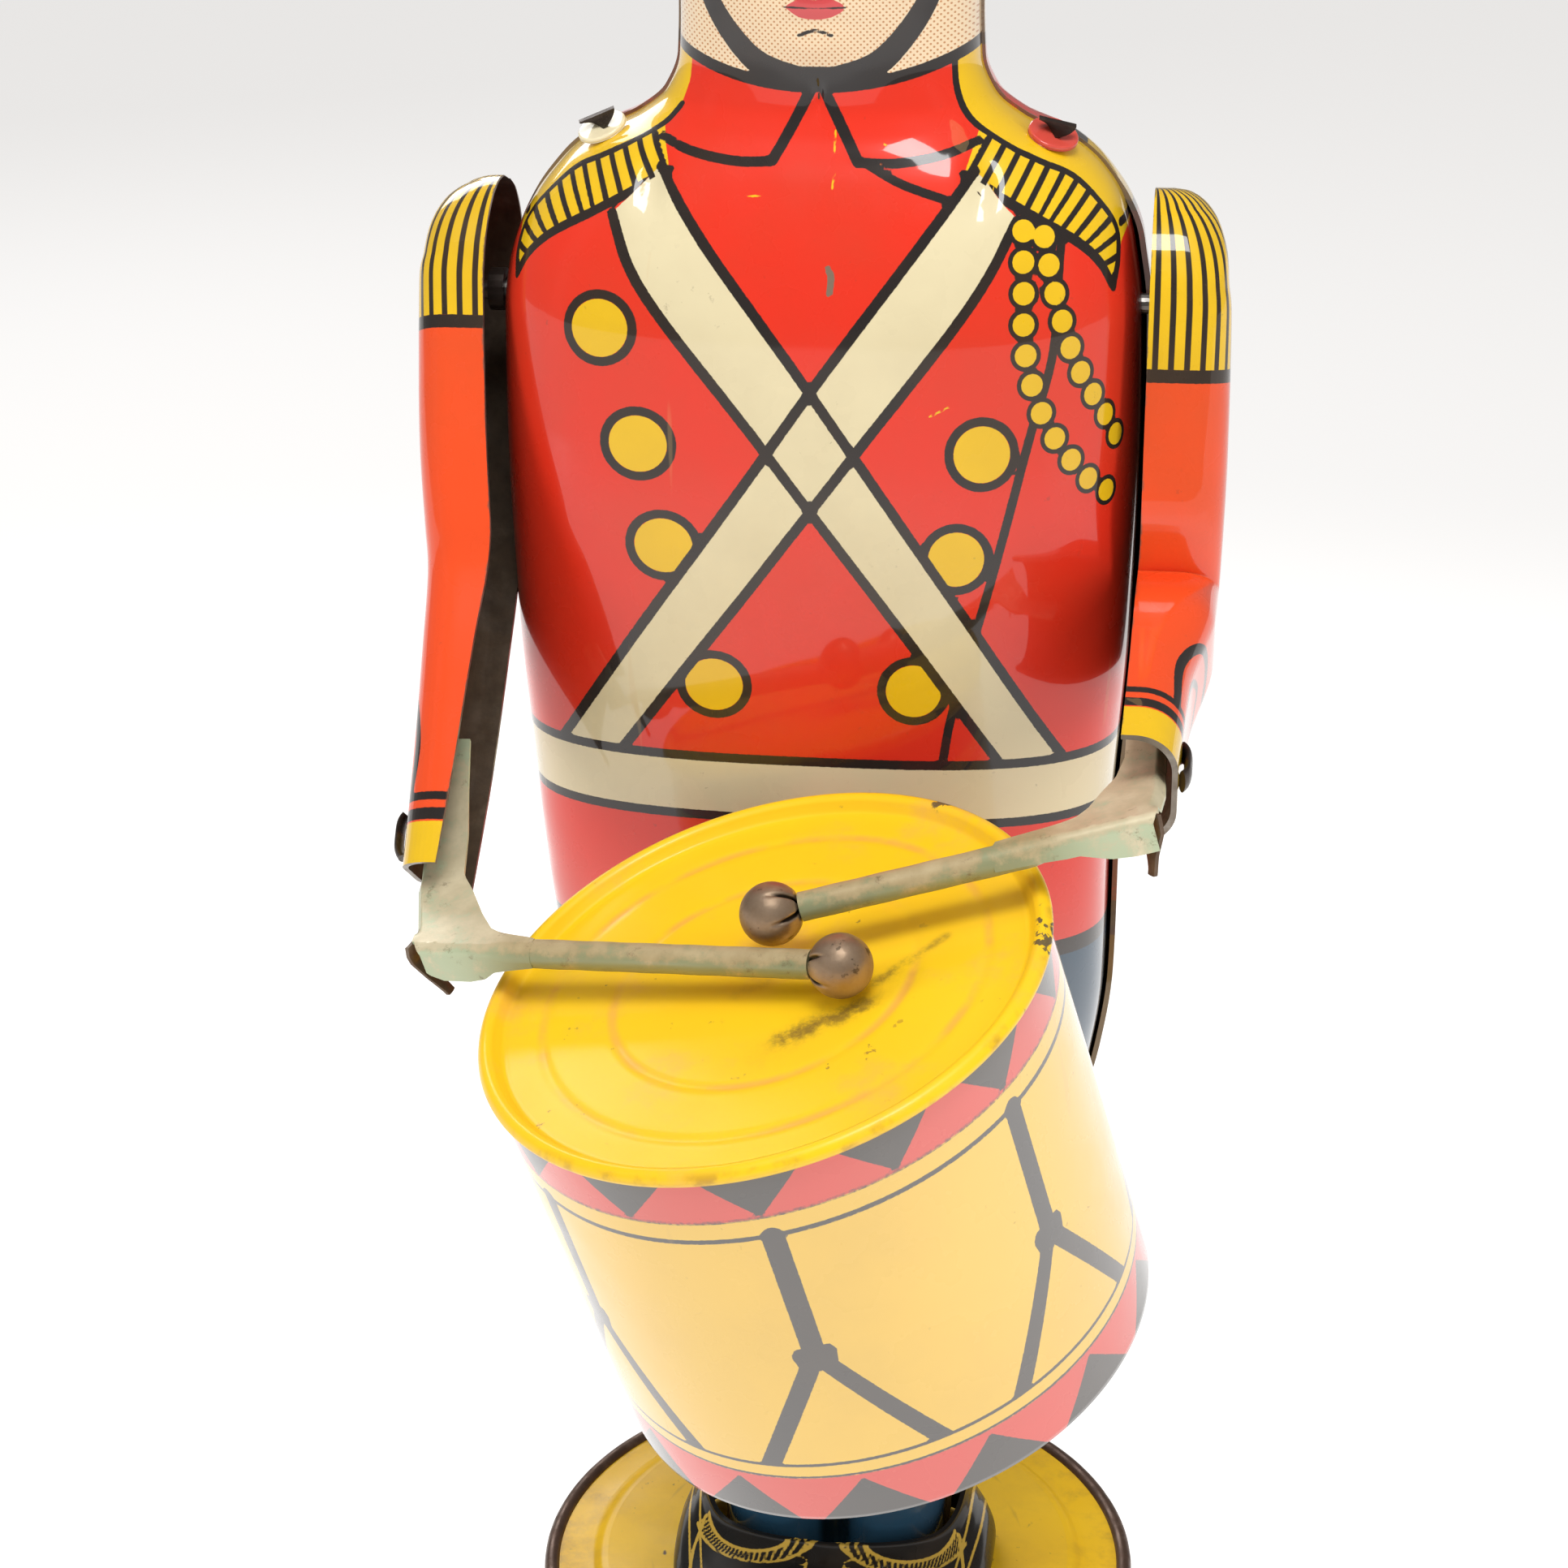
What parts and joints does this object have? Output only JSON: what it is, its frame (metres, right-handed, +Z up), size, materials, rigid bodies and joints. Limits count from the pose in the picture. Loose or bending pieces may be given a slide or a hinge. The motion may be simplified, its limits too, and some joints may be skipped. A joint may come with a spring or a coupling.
{
  "type": "wind-up tin toy drummer",
  "caption": "Wind-up tin toy soldier on a round base who beats a tilted drum with two swinging arms, driven by a spring motor inside the body.",
  "frame": {"origin": "centre of the round base's underside", "axes": "+Z up, the figure faces -Y, its own right arm is on the -X side"},
  "size_m": [0.1168, 0.1612, 0.3447],
  "materials": {
    "red_lacquer": "gloss litho-printed red lacquer on tinplate",
    "yellow_lacquer": "gloss yellow lacquer on tinplate, rubbed",
    "black_lacquer": "gloss black lacquer with gold printed lines",
    "cream_lacquer": "gloss cream lacquer",
    "green_lacquer": "worn pale green paint on rolled sheet",
    "brown_lacquer": "dark brown rolled sheet edge",
    "bronzed_ball": "dull bronzed, rubbed bright in places",
    "steel": "plain steel, lightly tarnished",
    "blued_steel": "blued spring steel",
    "brass": "plain brass, aged"
  },
  "bodies": {
    "figure": {"front_shell": "red_lacquer", "back_shell": "red_lacquer", "base_disc": "yellow_lacquer", "base_bottom_plate": "steel", "base_rim_ring": "brown_lacquer", "boots_cover": "black_lacquer", "shoulder_washer_right": "cream_lacquer", "shoulder_washer_left": "red_lacquer", "hanger_right": "steel", "hanger_left": "steel", "shoulder_bush_right": "brown_lacquer", "shoulder_bush_left": "brown_lacquer", "arm_return_spring_right": "steel", "arm_return_spring_left": "steel", "drum_shell": "yellow_lacquer", "drum_head": "yellow_lacquer", "drum_bottom": "brown_lacquer", "drum_bracket": "steel", "motor_front_plate": "steel", "motor_back_plate": "steel", "motor_pillar_1": "brass", "motor_pillar_2": "brass", "motor_pillar_3": "brass", "motor_pillar_4": "brass", "mainspring": "blued_steel", "key_bush": "brass"},
    "right_arm": {"sleeve_right": "red_lacquer", "hand_stick_right": "green_lacquer", "ball_right": "bronzed_ball", "arm_shaft_right": "steel", "lift_finger_right": "steel"},
    "left_arm": {"sleeve_left": "red_lacquer", "hand_stick_left": "green_lacquer", "ball_left": "bronzed_ball", "arm_shaft_left": "steel", "lift_finger_left": "steel"},
    "winding_shaft": {"winding_arbor": "steel", "winding_key": "steel", "ratchet_wheel": "steel"},
    "great_wheel_group": {"great_wheel": "brass", "click": "steel", "click_spring": "steel"},
    "second_shaft": {"second_arbor": "steel", "second_pinion": "brass", "second_wheel": "brass"},
    "cam_shaft": {"cam_arbor": "steel", "cam_pinion": "brass", "front_cam": "steel", "rear_cam": "steel", "governor_drive_wheel": "brass"},
    "governor": {"governor_arbor": "steel", "governor_pinion": "brass", "governor_vane": "brass"}
  },
  "joints": [
    {"name": "right_arm_swing", "type": "hinge", "parent": "figure", "child": "right_arm", "pos_m": [-0.052, -0.002, 0.227], "axis": [-1, 0, 0], "range_deg": [0, 24]},
    {"name": "left_arm_swing", "type": "hinge", "parent": "figure", "child": "left_arm", "pos_m": [0.052, -0.002, 0.227], "axis": [-1, 0, 0], "range_deg": [-1, 24]},
    {"name": "key_wind", "type": "hinge", "parent": "figure", "child": "winding_shaft", "pos_m": [0, 0, 0.177], "axis": [0, 1, 0], "continuous": true},
    {"name": "cam_shaft_turn", "type": "hinge", "parent": "figure", "child": "cam_shaft", "pos_m": [0, 0, 0.212], "axis": [0, 1, 0], "continuous": true},
    {"name": "second_shaft_turn", "type": "hinge", "parent": "figure", "child": "second_shaft", "pos_m": [-0.014, 0, 0.1977], "axis": [0, 1, 0], "continuous": true},
    {"name": "great_wheel_turn", "type": "hinge", "parent": "figure", "child": "great_wheel_group", "pos_m": [0, 0, 0.177], "axis": [0, 1, 0], "continuous": true},
    {"name": "governor_turn", "type": "hinge", "parent": "figure", "child": "governor", "pos_m": [0.016, 0, 0.2191], "axis": [0, 1, 0], "continuous": true}
  ],
  "couplings": [
    {"joint": "second_shaft_turn", "follows": "cam_shaft_turn", "ratio": -0.25},
    {"joint": "great_wheel_turn", "follows": "cam_shaft_turn", "ratio": 0.0625},
    {"joint": "governor_turn", "follows": "cam_shaft_turn", "ratio": -4}
  ]
}
